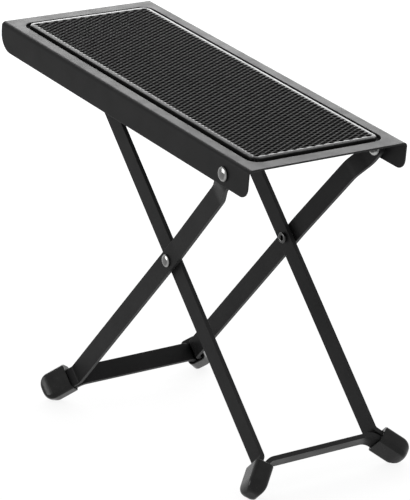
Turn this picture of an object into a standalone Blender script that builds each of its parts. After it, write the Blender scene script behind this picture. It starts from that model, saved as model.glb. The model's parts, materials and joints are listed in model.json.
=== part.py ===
"""Folding guitar footrest: a pressed steel foot plate with a rubber mat on two crossed flat-bar frames.

Metres, +Z up. X runs along the foot plate, from its high end to its low end, and Y runs across it.
The footrest stands on Z = 0 on its four rubber feet, centred on the origin.
Each moving piece hangs from an empty on the axis that it turns about.
"""
import bpy
import bmesh
import numpy as np
from math import acos, atan2, cos, hypot, pi, radians, sin
from mathutils import Matrix, Vector

# Foot plate: a channel with two long flanges, pressed from one sheet
PLATE_LENGTH = 0.290
PLATE_WIDTH = 0.120
SHEET = 0.0012
FLANGE_DROP = 0.019
BEND_RADIUS = 0.0025
HIGH_CORNER_RADIUS = 0.012
LOW_CORNER_RADIUS = 0.007

# Recess pressed into the plate for the mat
RECESS_MARGIN = 0.0096
RECESS_DEPTH = 0.0022
RECESS_CORNER = 0.008
LIP_RADIUS = 0.0008

# Rubber mat, standing in the recess with a gap all round
MAT_GAP = 0.0028
MAT_RISE = 0.0011
MAT_EDGE = 0.0005
MAT_RIM = 0.0033
MAT_FIELD_DROP = 0.0002

# Tread of the mat: crossed ribs between staggered pointed pockets, at about twice the real pitch
TREAD_PITCH = 0.0072
TREAD_ROW = 0.0073
TREAD_DEPTH = 0.0012
TREAD_BORDER = 0.0007

# Pivot of the foot plate on the outer frame
PIVOT_INSET = 0.025
PIVOT_DROP = 0.011

# Flat bar of both frames
BAR_WIDTH = 0.013
BAR_THICKNESS = 0.003
BAR_EDGE = 0.0004
BEND_CENTRE_RADIUS = 0.004
CROSSBAR_BEND_RADIUS = 0.010
HOLE_END = 0.0068

# Outer frame: lengths from the crossing, and the way its legs spread to the flanges
OUTER_INSET = 0.0107
OUTER_UPPER = 0.110
OUTER_LOWER = 0.1601
JOGGLE_START = 0.011
JOGGLE_END = 0.026
JOGGLE_RADIUS = 0.012
LEAN = 0.0025
LEAN_START = 0.014

# Inner frame: lengths from the crossing, and where its rod stands under the plate
INNER_UPPER = 0.132
INNER_LOWER = 0.1448
ROD_REACH = 0.1675

# Hairpin ears at the lower corners, which carry the feet
EAR_ANGLE = radians(42)
EAR_GAP = 0.0012
EAR_LENGTH = 0.0205

# Rubber feet pushed over the ears
FOOT_START = 0.0032
FOOT_TIP = 0.0243
FOOT_WIDTH = 0.0188
FOOT_THICKNESS = 0.0124
FOOT_RISE = 0.0015
FOOT_CORNER = 0.0030
FOOT_NOSE_LENGTH = 0.0078
FOOT_NOSE_WIDTH_INSET = 0.0066
FOOT_NOSE_THICKNESS_INSET = 0.0034
FOOT_MOUTH_EDGE = 0.0005
FOOT_FLAT = 0.0006

# Rivets, washers and the rod
RIVET_SHANK = 0.0050
RIVET_BORE = 0.0032
BORE_DEPTH = 0.0040
ROLL_DIAMETER = 0.0074
ROLL_LENGTH = 0.0017
PLATE_RIVET_HEAD = 0.0108
PLATE_RIVET_RISE = 0.0026
CROSSING_RIVET_HEAD = 0.0098
CROSSING_RIVET_RISE = 0.0024
WASHER_DIAMETER = 0.0110
PLATE_WASHER = 0.0008
BACKING_WASHER = 0.0007
CROSSING_WASHER = 0.0006
ROD_DIAMETER = 0.0050
ROD_TENON = 0.0038
ROD_HEAD_DIAMETER = 0.0075
ROD_HEAD = 0.0005

# Notched racks under the plate
RACK_SHEET = 0.0015
RACK_FLANGE = 0.0100
RACK_SIDE_GAP = 0.0020
NOTCH_COUNT = 6
NOTCH_PITCH = 0.0100
NOTCH_DEPTH = 0.0024
NOTCH_SIDE_GAP = 0.0003
RACK_END = 0.0070
ROD_CLEARANCE = 0.00035

# Gap between neighbours that touch, and the overrun of every cut
GAP = 0.0003
OVERRUN = 0.002
MERGE = 0.00001

# Smoothness of round forms
TURNED_STEPS = 28
ARC_STEP = radians(15)
CORNER_STEPS = 6
NOSE_STEPS = 5
DOME_STEPS = 5
LIP_STEPS = 3
SHARP_ANGLE = radians(35)

# Shares of the sizes that they follow
RIVET_RIM_SHARE = 0.18
ROLL_ROUND_SHARE = 0.35
POCKET_MOUTH_SHARE = 0.44
POCKET_OVERRUN_SHARE = 0.1

# Heights and offsets in the plate's own frame, whose origin is on the pivot
PLATE_TOP = PIVOT_DROP
FLANGE_END = PLATE_TOP - FLANGE_DROP
HIGH_END = PIVOT_INSET - PLATE_LENGTH
PAN_TOP = PLATE_TOP - RECESS_DEPTH
PAN_UNDERSIDE = PAN_TOP - SHEET
MAT_TOP = PLATE_TOP + MAT_RISE
MAT_MARGIN = RECESS_MARGIN + MAT_GAP

# Distances from the middle plane to the faces of the legs
HALF_WIDTH = PLATE_WIDTH / 2
OUTER_LEG_OUT = HALF_WIDTH - OUTER_INSET
OUTER_LEG_MID = OUTER_LEG_OUT - BAR_THICKNESS / 2
LEG_SPACE = CROSSING_WASHER + 2 * GAP
INNER_LEG_OUT = OUTER_LEG_OUT - BAR_THICKNESS - LEG_SPACE
INNER_LEG_MID = INNER_LEG_OUT - BAR_THICKNESS / 2
INNER_LEG_IN = INNER_LEG_OUT - BAR_THICKNESS
PLATE_WASHER_SPACE = PLATE_WASHER + 2 * GAP
PIVOT_LEG_MID = HALF_WIDTH - SHEET - PLATE_WASHER_SPACE - BAR_THICKNESS / 2
HOLE_DIAMETER = RIVET_SHANK + 2 * GAP
EAR_OFFSET = (BAR_THICKNESS + EAR_GAP) / 2

SIDES = {"front": -1, "back": 1}
COLOURS = {
    "powder_coat": ((0.018, 0.018, 0.019, 1), 0.38, 0.0),
    "mat_rubber": ((0.014, 0.014, 0.014, 1), 0.62, 0.0),
    "foot_rubber": ((0.020, 0.020, 0.020, 1), 0.50, 0.0),
    "rivet_steel": ((0.55, 0.55, 0.54, 1), 0.28, 1.0),
    "zinc_steel": ((0.42, 0.42, 0.41, 1), 0.40, 1.0),
}


def clear_scene():
    for item in list(bpy.data.objects):
        bpy.data.objects.remove(item, do_unlink=True)


def collection(name):
    group = bpy.data.collections.new(name)
    bpy.context.scene.collection.children.link(group)
    return group


def finish(name, look):
    colour, roughness, metallic = COLOURS[look]
    material = bpy.data.materials.new(name + "_finish")
    material.use_nodes = True
    shader = material.node_tree.nodes["Principled BSDF"]
    shader.inputs["Base Color"].default_value = colour
    shader.inputs["Roughness"].default_value = roughness
    shader.inputs["Metallic"].default_value = metallic
    return material


def mesh_object(name, shape, group, parent, place=Matrix()):
    """Turn a bmesh into an object whose faces point out, under its parent."""
    bmesh.ops.recalc_face_normals(shape, faces=shape.faces)
    mesh = bpy.data.meshes.new(name)
    shape.to_mesh(mesh)
    shape.free()
    item = bpy.data.objects.new(name, mesh)
    group.objects.link(item)
    item.parent = parent
    item.matrix_local = place
    return item


def dress(item, look):
    """Give a part its own material, and smooth its round faces."""
    item.data.materials.clear()
    item.data.materials.append(finish(item.name, look))
    item.data.shade_smooth()
    item.data.set_sharp_from_angle(angle=SHARP_ANGLE)
    return item


def cutter(item):
    item.hide_render = True
    item.display_type = "WIRE"
    return item


def boolean(item, tool, operation):
    step = item.modifiers.new(operation.lower() + "_" + tool.name, "BOOLEAN")
    step.operation = operation
    step.solver = "EXACT"
    step.object = tool
    return step


def empty(name, group, parent, place):
    item = bpy.data.objects.new(name, None)
    item.empty_display_size = BAR_WIDTH
    group.objects.link(item)
    item.parent = parent
    item.matrix_local = place
    return item


def arc(centre, radius, start, end):
    """Points on an arc from one angle to another, both ends included."""
    count = max(2, int(round(abs(end - start) / ARC_STEP)))
    angles = [start + (end - start) * i / count for i in range(count + 1)]
    return [Vector((centre[0] + radius * cos(t), centre[1] + radius * sin(t))) for t in angles]


def filleted(corners):
    """A plane path through (point, bend radius) pairs, with an arc at each bend."""
    path = [corners[0][0]]
    for before, (point, radius), after in zip(corners, corners[1:], corners[2:]):
        come = (point - before[0]).normalized()
        leave = (after[0] - point).normalized()
        turn = atan2(come.x * leave.y - come.y * leave.x, come.dot(leave))
        side = 1 if turn > 0 else -1
        across = Vector((-come.y, come.x)) * side
        begin = point - come * radius * abs(sin(turn / 2) / cos(turn / 2))
        centre = begin + across * radius
        start = atan2(-across.y, -across.x)
        path += arc(centre, radius, start, start + turn)
    return path + [corners[-1][0]]


def poly_curve(name, points, group, parent, dimensions, closed):
    data = bpy.data.curves.new(name + "_curve", "CURVE")
    data.dimensions = dimensions
    spline = data.splines.new("POLY")
    spline.points.add(len(points) - 1)
    for point, place in zip(spline.points, points):
        point.co = (place[0], place[1], 0, 1)
    spline.use_cyclic_u = closed
    item = bpy.data.objects.new(name + "_curve", data)
    group.objects.link(item)
    item.parent = parent
    return item


def meshed(name, curve, group, parent, place=Matrix()):
    """Replace a curve with its evaluated shape as one closed mesh."""
    curve.matrix_local = place
    bpy.context.view_layer.update()
    graph = bpy.context.evaluated_depsgraph_get()
    mesh = bpy.data.meshes.new_from_object(curve.evaluated_get(graph))
    world = curve.matrix_world.copy()
    bpy.data.objects.remove(curve, do_unlink=True)
    shape = bmesh.new()
    shape.from_mesh(mesh)
    bpy.data.meshes.remove(mesh)
    bmesh.ops.remove_doubles(shape, verts=shape.verts, dist=MERGE)
    item = mesh_object(name, shape, group, parent)
    item.matrix_world = world
    return item


def prism(name, outline, low, high, group, parent, place=Matrix()):
    """A plane outline, given in the local X and Y, extruded from one height to another."""
    curve = poly_curve(name, outline, group, parent, "2D", True)
    curve.data.fill_mode = "BOTH"
    curve.data.extrude = (high - low) / 2
    middle = Matrix.Translation((0, 0, (low + high) / 2))
    return meshed(name, curve, group, parent, place @ middle)


def cylinder(name, diameter, length, group, parent, place):
    shape = bmesh.new()
    bmesh.ops.create_cone(shape, cap_ends=True, segments=TURNED_STEPS, radius1=diameter / 2,
                          radius2=diameter / 2, depth=length)
    return mesh_object(name, shape, group, parent, place)


def box(name, low, high, group, parent, place=Matrix()):
    shape = bmesh.new()
    bmesh.ops.create_cube(shape, size=1)
    size = Vector(high) - Vector(low)
    bmesh.ops.scale(shape, verts=shape.verts, vec=size)
    bmesh.ops.translate(shape, verts=shape.verts, vec=(Vector(high) + Vector(low)) / 2)
    return mesh_object(name, shape, group, parent, place)


def turned(name, profile, group, parent, place):
    """A profile in X and Z, turned about Z. It runs down its outer side."""
    mesh = bpy.data.meshes.new(name)
    closed = (profile[0] - profile[-1]).length < MERGE
    points = profile[:-1] if closed else profile
    edges = [(i, i + 1) for i in range(len(points) - 1)]
    if closed:
        edges.append((len(points) - 1, 0))
    mesh.from_pydata([(p.x, 0, p.y) for p in points], edges, [])
    item = bpy.data.objects.new(name, mesh)
    group.objects.link(item)
    item.parent = parent
    item.matrix_local = place
    screw = item.modifiers.new("turn", "SCREW")
    screw.steps = TURNED_STEPS
    screw.render_steps = TURNED_STEPS
    screw.use_merge_vertices = True
    screw.merge_threshold = MERGE
    screw.use_smooth_shade = True
    return item


def rounded_rectangle(half_x, half_y, radius):
    """Outline of a rectangle with round corners, with the same number of points at any size."""
    outline = []
    for quarter, (sx, sy) in enumerate(((1, 1), (-1, 1), (-1, -1), (1, -1))):
        for i in range(CORNER_STEPS + 1):
            t = pi / 2 * (quarter + i / CORNER_STEPS)
            outline.append((sx * (half_x - radius) + radius * cos(t),
                            sy * (half_y - radius) + radius * sin(t)))
    return outline


def loft(name, rings, group, parent, place=Matrix()):
    """A closed body through rings of equally many points, capped at both ends."""
    shape = bmesh.new()
    loops = [[shape.verts.new(p) for p in ring] for ring in rings]
    for lower, upper in zip(loops, loops[1:]):
        for i in range(len(lower)):
            j = (i + 1) % len(lower)
            shape.faces.new((lower[i], lower[j], upper[j], upper[i]))
    shape.faces.new(loops[0])
    shape.faces.new(loops[-1])
    return mesh_object(name, shape, group, parent, place)


def slab(name, margin, corner, levels, group, parent):
    """A plate-shaped body in the foot plate's frame, from (inset, height) levels."""
    middle = (HIGH_END + PIVOT_INSET) / 2
    rings = []
    for inset, height in levels:
        outline = rounded_rectangle(PLATE_LENGTH / 2 - margin - inset, HALF_WIDTH - margin - inset,
                                    corner - inset)
        rings.append([(middle + x, y, height) for x, y in outline])
    return loft(name, rings, group, parent)


# Foot plate

def channel(group, parent):
    """The bent sheet, longer and deeper than needed, as an outer surface with a thickness."""
    low = FLANGE_END - OVERRUN
    bend = (HALF_WIDTH - BEND_RADIUS, PLATE_TOP - BEND_RADIUS)
    half = [Vector((HALF_WIDTH, low))] + arc(bend, BEND_RADIUS, 0, pi / 2)
    section = half + [Vector((-p.x, p.y)) for p in reversed(half)]
    shape = bmesh.new()
    row = [shape.verts.new((HIGH_END - OVERRUN, p.x, p.y)) for p in section]
    edges = [shape.edges.new(pair) for pair in zip(row, row[1:])]
    swept = bmesh.ops.extrude_edge_only(shape, edges=edges)["geom"]
    moved = [v for v in swept if isinstance(v, bmesh.types.BMVert)]
    bmesh.ops.translate(shape, verts=moved, vec=(PLATE_LENGTH + 2 * OVERRUN, 0, 0))
    item = mesh_object("platform_plate", shape, group, parent)
    wall = item.modifiers.new("sheet", "SOLIDIFY")
    wall.thickness = SHEET
    wall.offset = -1
    wall.use_even_offset = True
    return item


def side_outline():
    """The plate seen from the side, with the flanges' rounded lower corners."""
    top = PLATE_TOP + OVERRUN
    high = (HIGH_END + HIGH_CORNER_RADIUS, FLANGE_END + HIGH_CORNER_RADIUS)
    low = (PIVOT_INSET - LOW_CORNER_RADIUS, FLANGE_END + LOW_CORNER_RADIUS)
    points = [Vector((PIVOT_INSET, top)), Vector((HIGH_END, top))]
    points += arc(high, HIGH_CORNER_RADIUS, pi, 3 * pi / 2)
    points += arc(low, LOW_CORNER_RADIUS, -pi / 2, 0)
    return points


def platform_plate(parts, tools, parent):
    plate = channel(parts, parent)
    upright = Matrix.Rotation(pi / 2, 4, "X")
    reach = HALF_WIDTH + OVERRUN
    side = cutter(prism("plate_side", side_outline(), -reach, reach, tools, parent, upright))
    boolean(plate, side, "INTERSECT")
    pan = slab("plate_pan", RECESS_MARGIN - SHEET, RECESS_CORNER + SHEET,
               [(0, PAN_UNDERSIDE), (0, PLATE_TOP - SHEET / 2)], tools, parent)
    boolean(plate, cutter(pan), "UNION")
    lip = [(0, PAN_TOP)]
    for i in range(LIP_STEPS + 1):
        t = pi / 2 * i / (LIP_STEPS + 1)
        lip.append((-LIP_RADIUS * (1 - cos(t)), PLATE_TOP - LIP_RADIUS * (1 - sin(t))))
    lip.append((lip[-1][0], PLATE_TOP + OVERRUN))
    recess = slab("plate_recess", RECESS_MARGIN, RECESS_CORNER, lip, tools, parent)
    boolean(plate, cutter(recess), "DIFFERENCE")
    hole = cylinder("plate_pivot_hole", HOLE_DIAMETER, PLATE_WIDTH + 2 * OVERRUN, tools, parent, upright)
    boolean(plate, cutter(hole), "DIFFERENCE")
    return dress(plate, "powder_coat")


def tread_pockets(top, tools, parent):
    """Diamond pockets in staggered rows over the whole mat, whose ribs cross at the plate's middle."""
    middle = (HIGH_END + PIVOT_INSET) / 2
    height = TREAD_DEPTH * (1 + POCKET_OVERRUN_SHARE)
    size = Matrix.Diagonal((TREAD_PITCH, 2 * TREAD_ROW, height, 1))
    rim_share = POCKET_MOUTH_SHARE * (1 + POCKET_OVERRUN_SHARE)
    columns = int(PLATE_LENGTH / 2 / TREAD_PITCH)
    rows = int(HALF_WIDTH / TREAD_ROW)
    shape = bmesh.new()
    for row in range(-rows, rows + 1):
        shift = TREAD_PITCH * (1 - row % 2) / 2
        for column in range(-columns, columns + 1):
            spot = (middle + shift + TREAD_PITCH * column, TREAD_ROW * row, top - TREAD_DEPTH + height / 2)
            bmesh.ops.create_cone(shape, cap_ends=True, segments=4, radius1=0, radius2=rim_share, depth=1,
                                  matrix=Matrix.Translation(spot) @ size)
    bmesh.ops.remove_doubles(shape, verts=shape.verts, dist=MERGE)
    return cutter(mesh_object("tread_pockets", shape, tools, parent))


def rubber_mat(parts, tools, parent):
    """The mat with a flat rim round its tread, which lies a little lower."""
    bottom = PAN_TOP + GAP
    field = MAT_TOP - MAT_FIELD_DROP
    levels = [(MAT_EDGE, bottom), (0, bottom + MAT_EDGE), (0, MAT_TOP - MAT_EDGE), (MAT_EDGE, MAT_TOP),
              (MAT_RIM, MAT_TOP), (MAT_RIM + MAT_FIELD_DROP, field)]
    corner = RECESS_CORNER - MAT_GAP
    mat = slab("rubber_mat", MAT_MARGIN, corner, levels, parts, parent)
    border = MAT_RIM + MAT_FIELD_DROP + TREAD_BORDER
    around = [(0, field - 2 * TREAD_DEPTH), (0, field + 2 * TREAD_DEPTH)]
    tread = slab("tread_border", MAT_MARGIN + border, max(corner - border, MAT_EDGE), around, tools, parent)
    pockets = tread_pockets(field, tools, parent)
    boolean(pockets, cutter(tread), "INTERSECT")
    boolean(mat, pockets, "DIFFERENCE")
    return dress(mat, "mat_rubber")


def rack_tips():
    """Height of the tips between the notches, and the rack's near and far ends."""
    near = -ROD_REACH + RACK_END
    far = -ROD_REACH - NOTCH_PITCH * (NOTCH_COUNT - 1) - RACK_END
    return ROD_DIAMETER / 2 + ROD_CLEARANCE, near, far


def notch_outline():
    """What is cut away under the tips, seen from the side, with a round notch for each height."""
    tips, near, far = rack_tips()
    radius = ROD_DIAMETER / 2 + NOTCH_SIDE_GAP
    centre_height = tips + NOTCH_DEPTH - radius
    drop = atan2(tips - centre_height, (radius ** 2 - (tips - centre_height) ** 2) ** 0.5)
    outline = [Vector((far - OVERRUN, tips))]
    for i in reversed(range(NOTCH_COUNT)):
        centre = (-ROD_REACH - NOTCH_PITCH * i, centre_height)
        outline += arc(centre, radius, pi - drop, drop)
    bottom = tips - 2 * OVERRUN
    return outline + [Vector((near + OVERRUN, tips)), Vector((near + OVERRUN, bottom)),
                      Vector((far - OVERRUN, bottom))]


def height_rack(label, side, parts, tools, parent):
    """One angle under the pan: a notched web and a flange that is welded to the plate."""
    tips, near, far = rack_tips()
    top = PAN_UNDERSIDE - GAP
    web_out = INNER_LEG_IN - RACK_SIDE_GAP
    web_in = web_out - RACK_SHEET
    deep = web_out - RACK_FLANGE
    section = [(web_out, top), (web_out, tips - OVERRUN), (web_in, tips - OVERRUN),
               (web_in, top - RACK_SHEET), (deep, top - RACK_SHEET), (deep, top)]
    lengthwise = Matrix.Rotation(pi / 2, 4, "Z") @ Matrix.Rotation(pi / 2, 4, "X")
    rack = prism("height_rack_" + label, [Vector((side * y, z)) for y, z in section], far, near,
                 parts, parent, lengthwise)
    low, high = sorted((-side * web_in, -side * web_out))
    notches = prism("rack_notches_" + label, notch_outline(), low - OVERRUN, high + OVERRUN,
                    tools, parent, Matrix.Rotation(pi / 2, 4, "X"))
    boolean(rack, cutter(notches), "DIFFERENCE")
    return dress(rack, "powder_coat")


# Frames of flat bar

def bar_section(tools):
    """The flat bar's section, with its edges broken."""
    half_t = BAR_THICKNESS / 2
    half_w = BAR_WIDTH / 2
    corners = []
    for sx, sy in ((1, 1), (-1, 1), (-1, -1), (1, -1)):
        pair = [(sx * half_t, sy * (half_w - BAR_EDGE)), (sx * (half_t - BAR_EDGE), sy * half_w)]
        corners += pair if sx * sy > 0 else pair[::-1]
    return cutter(poly_curve("bar_section", corners, tools, None, "2D", True))


def bent_bar(name, path, section, group, parent):
    """A flat bar bent along a plane path, as one closed mesh."""
    curve = poly_curve(name, path, group, parent, "3D", False)
    curve.data.twist_mode = "Z_UP"
    curve.data.bevel_mode = "OBJECT"
    curve.data.bevel_object = section
    curve.data.use_fill_caps = True
    return meshed(name, curve, group, parent)


def lower_corner(length, leg_mid):
    """Bends from a leg through the hairpin ear to the crossbar, on the back half of a frame."""
    corner = Vector((length, leg_mid))
    along = Vector((cos(EAR_ANGLE), sin(EAR_ANGLE)))
    across = Vector((sin(EAR_ANGLE), -cos(EAR_ANGLE))) * EAR_OFFSET
    turn = corner + along * (EAR_LENGTH - EAR_OFFSET - BAR_THICKNESS / 2)
    leg_bend = Vector((length - EAR_OFFSET / sin(EAR_ANGLE), leg_mid))
    bar_bend = Vector((length, leg_mid - EAR_OFFSET / cos(EAR_ANGLE)))
    start = atan2(-across.y, -across.x)
    return leg_bend, arc(turn, EAR_OFFSET, start, start - pi), bar_bend


def frame_path(upper, length, leg_mid):
    """The whole U: down one leg, round its ear, along the crossbar and back up the other leg."""
    leg_bend, hairpin, bar_bend = lower_corner(length, leg_mid)
    radius = BEND_CENTRE_RADIUS
    down = filleted(upper + [(leg_bend, radius), (hairpin[0], radius)])
    across = filleted([(hairpin[-1], radius), (bar_bend, CROSSBAR_BEND_RADIUS), (Vector((length, 0)), radius)])
    half = down[:-1] + hairpin + across[1:]
    return half + [Vector((p.x, -p.y)) for p in reversed(half[:-1])]


def outer_frame_path():
    """The outer legs run straight to the crossing, then lean and joggle out to the flanges."""
    top = -OUTER_UPPER - HOLE_END - OVERRUN
    upper = [(Vector((top, PIVOT_LEG_MID)), 0),
             (Vector((-OUTER_UPPER + JOGGLE_START, PIVOT_LEG_MID)), JOGGLE_RADIUS),
             (Vector((-OUTER_UPPER + JOGGLE_END, OUTER_LEG_MID + LEAN)), JOGGLE_RADIUS),
             (Vector((-LEAN_START, OUTER_LEG_MID)), OUTER_UPPER)]
    return frame_path(upper, OUTER_LOWER, OUTER_LEG_MID)


def inner_frame_path():
    top = -INNER_UPPER - HOLE_END - OVERRUN
    return frame_path([(Vector((top, INNER_LEG_MID)), 0)], INNER_LOWER, INNER_LEG_MID)


def end_outline(reach):
    """What is cut off to round a leg's end about its hole, seen square to the leg."""
    half = BAR_WIDTH / 2 + OVERRUN
    slope = acos(BAR_WIDTH / 2 / HOLE_END)
    rim = arc((-reach, 0), HOLE_END, pi / 2 + slope, 3 * pi / 2 - slope)
    top = -reach - HOLE_END - 2 * OVERRUN
    start = Vector((rim[0].x, half))
    end = Vector((rim[-1].x, -half))
    return [start, *rim, end, Vector((top, -half)), Vector((top, half))]


def drilled(frame, name, reach, hole, width, tools, parent):
    """Round both legs' ends and drill their end holes and the crossing holes."""
    flat = Matrix.Rotation(pi / 2, 4, "X")
    end = prism(name + "_end", end_outline(reach), -width, width, tools, parent, flat)
    boolean(frame, cutter(end), "DIFFERENCE")
    for label, x, size in (("end_hole", -reach, hole), ("crossing_hole", 0, HOLE_DIAMETER)):
        place = Matrix.Translation((x, 0, 0)) @ flat
        tool = cylinder(name + "_" + label, size, 2 * width, tools, parent, place)
        boolean(frame, cutter(tool), "DIFFERENCE")
    return dress(frame, "powder_coat")


# Feet

def foot_rings(length, leg_mid, side, rise):
    """Sections of a foot along its ear, from the open mouth to the rounded nose."""
    corner = Vector((length, side * leg_mid))
    along = Vector((cos(EAR_ANGLE), side * sin(EAR_ANGLE)))
    across = Vector((-along.y, along.x))
    stations = [(FOOT_START, FOOT_MOUTH_EDGE, FOOT_MOUTH_EDGE), (FOOT_START + FOOT_MOUTH_EDGE, 0, 0)]
    for i in range(NOSE_STEPS + 1):
        t = pi / 2 * i / NOSE_STEPS
        stations.append((FOOT_TIP - FOOT_NOSE_LENGTH * (1 - sin(t)), FOOT_NOSE_THICKNESS_INSET * (1 - cos(t)),
                         FOOT_NOSE_WIDTH_INSET * (1 - cos(t))))
    rings = []
    for station, thinner, narrower in stations:
        half_t = FOOT_THICKNESS / 2 - thinner
        half_w = FOOT_WIDTH / 2 - narrower
        radius = min(FOOT_CORNER, half_t - MERGE, half_w - MERGE)
        centre = corner + along * station
        ring = []
        for q, r in rounded_rectangle(half_t, half_w, radius):
            place = centre + across * q
            ring.append((place.x, place.y, rise + r))
        rings.append(ring)
    return rings


def foot_socket(length, leg_mid, side):
    """Outline of the ear with its clearance, which is cut out of the foot."""
    corner = Vector((length, side * leg_mid))
    along = Vector((cos(EAR_ANGLE), side * sin(EAR_ANGLE)))
    half = EAR_OFFSET + BAR_THICKNESS / 2 + GAP
    turn = corner + along * (EAR_LENGTH + GAP - half)
    across = Vector((-along.y, along.x)) * half
    start = atan2(-across.y, -across.x)
    return [corner + across, corner - across, *arc(turn, half, start, start + pi)]


def foot(name, side, length, leg_mid, rise, parts, tools, parent):
    """The foot stands a little high on its ear. The outer frame's local Z points down, the inner's up."""
    item = loft(name, foot_rings(length, leg_mid, side, rise), parts, parent)
    reach = BAR_WIDTH / 2 + GAP
    socket = prism(name + "_socket", foot_socket(length, leg_mid, side), -reach, reach, tools, parent)
    boolean(item, cutter(socket), "DIFFERENCE")
    return dress(item, "foot_rubber")


# Rivets, washers and rod

def facing(side, place=(0, 0, 0)):
    """Local +Z points out of the given side."""
    return Matrix.Translation(place) @ Matrix.Rotation(-side * pi / 2, 4, "X")


def rivet(name, head, rise, stack, seat, side, parts, parent):
    """A tubular rivet: a domed head outside, and an end rolled over inside the stack."""
    shank = RIVET_SHANK / 2
    rim = rise * RIVET_RIM_SHARE
    dome = []
    for i in range(DOME_STEPS + 1):
        t = pi / 2 * (1 - i / DOME_STEPS)
        dome.append(Vector((head / 2 * cos(t), GAP + rim + (rise - rim) * sin(t))))
    roll_top = -stack - GAP
    roll_end = roll_top - ROLL_LENGTH
    roll = ROLL_DIAMETER / 2
    round_off = ROLL_LENGTH * ROLL_ROUND_SHARE
    bore = RIVET_BORE / 2
    profile = dome + [Vector((head / 2, GAP)), Vector((shank, GAP)), Vector((shank, roll_top)),
                      Vector((roll - round_off, roll_top)), Vector((roll, roll_top - round_off)),
                      Vector((roll, roll_end + round_off)), Vector((roll - round_off, roll_end)),
                      Vector((bore + round_off, roll_end)), Vector((bore, roll_end + round_off)),
                      Vector((bore, roll_end + BORE_DEPTH)), Vector((0, roll_end + BORE_DEPTH))]
    item = turned(name, profile, parts, parent, facing(side, (0, side * seat, 0)))
    return dress(item, "rivet_steel")


def washer(name, thickness, top, side, parts, parent):
    """A flat washer whose outer face lies GAP inside the given face."""
    bore = RIVET_SHANK / 2 + GAP
    rim = WASHER_DIAMETER / 2
    high = -GAP
    low = -GAP - thickness
    profile = [Vector((bore, high)), Vector((rim, high)), Vector((rim, low)), Vector((bore, low)),
               Vector((bore, high))]
    item = turned(name, profile, parts, parent, facing(side, (0, side * top, 0)))
    return dress(item, "zinc_steel")


def latch_rod(parts, parent):
    """The rod across the inner frame's top, shouldered inside the legs and headed outside them."""
    half = [Vector((ROD_HEAD_DIAMETER / 2, INNER_LEG_OUT + GAP + ROD_HEAD)),
            Vector((ROD_HEAD_DIAMETER / 2, INNER_LEG_OUT + GAP)),
            Vector((ROD_TENON / 2, INNER_LEG_OUT + GAP)),
            Vector((ROD_TENON / 2, INNER_LEG_IN - GAP)),
            Vector((ROD_DIAMETER / 2, INNER_LEG_IN - GAP))]
    profile = [Vector((0, half[0].y)), *half]
    profile += [Vector((p.x, -p.y)) for p in reversed(profile)]
    place = facing(1, (-INNER_UPPER, 0, 0))
    return dress(turned("latch_rod", profile, parts, parent, place), "zinc_steel")


# Stance

def lowest(rings, turn):
    """Height of a foot's lowest point under the crossing when its frame is turned about Y."""
    points = np.array([p for ring in rings for p in ring])
    return float((-points[:, 0] * sin(turn) + points[:, 2] * cos(turn)).min())


def stance():
    """Angles of both frames and of the plate when all four feet stand on one floor."""
    cosine = (OUTER_UPPER ** 2 + INNER_UPPER ** 2 - ROD_REACH ** 2) / (2 * OUTER_UPPER * INNER_UPPER)
    spread = pi - acos(cosine)
    cosine = (OUTER_UPPER ** 2 + ROD_REACH ** 2 - INNER_UPPER ** 2) / (2 * OUTER_UPPER * ROD_REACH)
    plate_to_leg = acos(cosine)
    outer_rings = foot_rings(OUTER_LOWER, OUTER_LEG_MID, -1, -FOOT_RISE)
    inner_rings = foot_rings(INNER_LOWER, INNER_LEG_MID, -1, FOOT_RISE)
    low, high = 0, spread
    while high - low > MERGE:
        middle = (low + high) / 2
        if lowest(outer_rings, pi - middle) > lowest(inner_rings, spread - middle):
            low = middle
        else:
            high = middle
    floor = lowest(outer_rings, pi - low) + FOOT_FLAT
    return low, spread - low, plate_to_leg - low, floor


def evaluated_bounds(items):
    bpy.context.view_layer.update()
    graph = bpy.context.evaluated_depsgraph_get()
    corners = []
    for item in items:
        mesh = item.evaluated_get(graph).to_mesh()
        corners += [item.matrix_world @ v.co for v in mesh.vertices]
        item.evaluated_get(graph).to_mesh_clear()
    points = np.array(corners)
    return points.min(axis=0), points.max(axis=0)


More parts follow.
